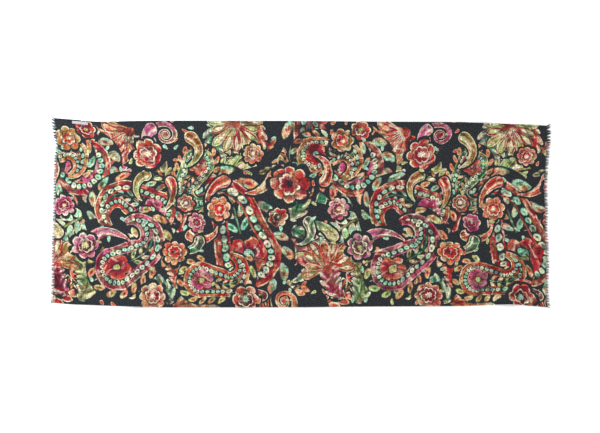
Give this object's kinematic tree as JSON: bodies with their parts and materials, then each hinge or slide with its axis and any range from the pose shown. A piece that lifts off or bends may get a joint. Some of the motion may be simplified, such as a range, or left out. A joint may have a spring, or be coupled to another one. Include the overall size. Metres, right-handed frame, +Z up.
{
  "type": "wool scarf",
  "caption": "Long rectangular scarf of light printed wool, laid out flat, with narrow hems on its long edges, short thread fringe on its ends and a small bare label.",
  "frame": {"origin": "on the floor, under the middle of the scarf", "axes": "+X along the scarf, away from the end with the label; +Y across it, towards the edge with the label; +Z up out of the printed face"},
  "size_m": [1.83, 0.6995, 0.0085],
  "materials": {
    "printed_wool": "matt",
    "hem_wool": "matt",
    "fringe_wool": "matt",
    "label_satin": "satin"
  },
  "bodies": {
    "root": {"cloth": "printed_wool", "hem_lower": "hem_wool", "hem_upper": "hem_wool", "fringe_left": "fringe_wool", "fringe_right": "fringe_wool", "label": "label_satin"}
  },
  "joints": []
}
